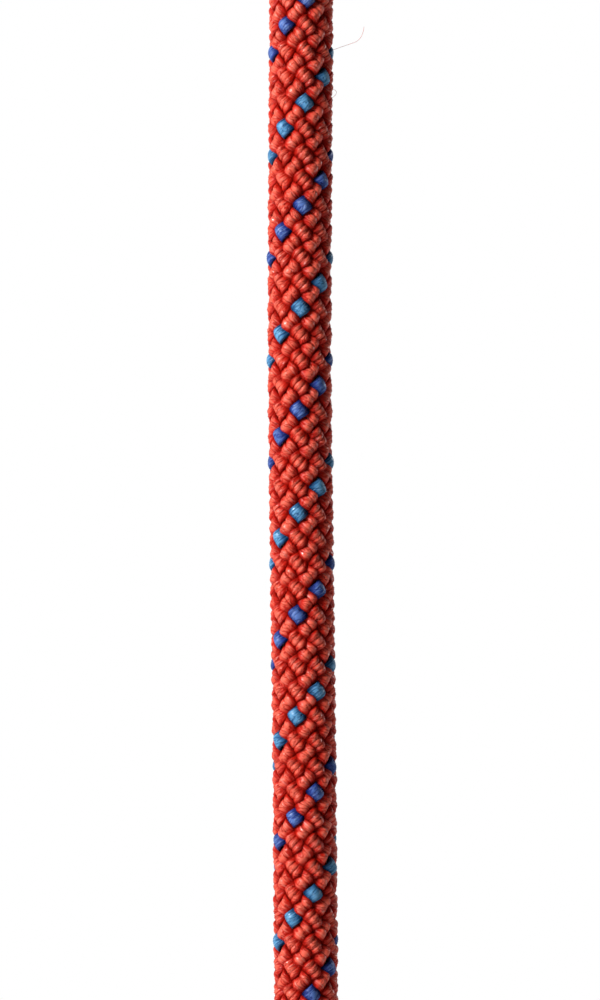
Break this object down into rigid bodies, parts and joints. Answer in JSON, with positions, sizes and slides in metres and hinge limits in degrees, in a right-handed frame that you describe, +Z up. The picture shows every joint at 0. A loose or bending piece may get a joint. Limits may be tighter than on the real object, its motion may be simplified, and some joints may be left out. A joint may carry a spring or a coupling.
{
  "type": "dynamic climbing rope",
  "caption": "Kernmantle dynamic climbing rope, a hung taut stretch with a braided orange-red sheath, two blue tracer strands, a twisted core and sealed, sleeved ends.",
  "frame": {"origin": "on the rope's axis at the middle of the upper end sleeve, where a clamp or hanger holds the rope", "axes": "+Z up along the rope's axis towards the upper sealed end, -Y towards the viewer, +X to the viewer's right"},
  "size_m": [0.011, 0.011, 0.226],
  "materials": {
    "sheath_yarn_orange_red": "braided polyamide filament yarn",
    "sheath_yarn_dark_blue": "braided polyamide filament yarn",
    "sheath_yarn_light_blue": "braided polyamide filament yarn",
    "core_yarn_white": "three-ply twisted polyamide filament",
    "marker_yarn_yellow": "spun marker thread",
    "end_sleeve_black": "heat-shrunk polyolefin",
    "fused_polyamide": "melted and set polyamide"
  },
  "bodies": {
    "upper_rope": {"sheath_tracer_dark_blue": "sheath_yarn_dark_blue", "sheath_strand_z2": "sheath_yarn_orange_red", "sheath_strand_z3": "sheath_yarn_orange_red", "sheath_strand_z4": "sheath_yarn_orange_red", "sheath_tracer_light_blue": "sheath_yarn_light_blue", "sheath_strand_z6": "sheath_yarn_orange_red", "sheath_strand_z7": "sheath_yarn_orange_red", "sheath_strand_z8": "sheath_yarn_orange_red", "sheath_strand_s1": "sheath_yarn_orange_red", "sheath_strand_s2": "sheath_yarn_orange_red", "sheath_strand_s3": "sheath_yarn_orange_red", "sheath_strand_s4": "sheath_yarn_orange_red", "sheath_strand_s5": "sheath_yarn_orange_red", "sheath_strand_s6": "sheath_yarn_orange_red", "sheath_strand_s7": "sheath_yarn_orange_red", "sheath_strand_s8": "sheath_yarn_orange_red", "core_strand_01": "core_yarn_white", "core_strand_02": "core_yarn_white", "core_strand_03": "core_yarn_white", "core_strand_04": "core_yarn_white", "core_strand_05": "core_yarn_white", "core_strand_06": "core_yarn_white", "core_strand_07": "core_yarn_white", "core_strand_08": "core_yarn_white", "core_strand_09": "core_yarn_white", "core_strand_10": "core_yarn_white", "core_strand_11": "core_yarn_white", "core_strand_12": "core_yarn_white", "marker_thread": "marker_yarn_yellow", "upper_sleeve": "end_sleeve_black", "upper_sealed_tip": "fused_polyamide"},
    "lower_end": {"lower_sleeve": "end_sleeve_black", "lower_sealed_tip": "fused_polyamide"}
  },
  "joints": [
    {"name": "rope_stretch", "type": "slide", "parent": "upper_rope", "child": "lower_end", "axis": [0, 0, -1], "range_m": [0, 0.054], "stiffness_N_per_m": 300, "deforming": ["sheath_tracer_dark_blue", "sheath_strand_z2", "sheath_strand_z3", "sheath_strand_z4", "sheath_tracer_light_blue", "sheath_strand_z6", "sheath_strand_z7", "sheath_strand_z8", "sheath_strand_s1", "sheath_strand_s2", "sheath_strand_s3", "sheath_strand_s4", "sheath_strand_s5", "sheath_strand_s6", "sheath_strand_s7", "sheath_strand_s8", "core_strand_01", "core_strand_02", "core_strand_03", "core_strand_04", "core_strand_05", "core_strand_06", "core_strand_07", "core_strand_08", "core_strand_09", "core_strand_10", "core_strand_11", "core_strand_12", "marker_thread"]}
  ]
}
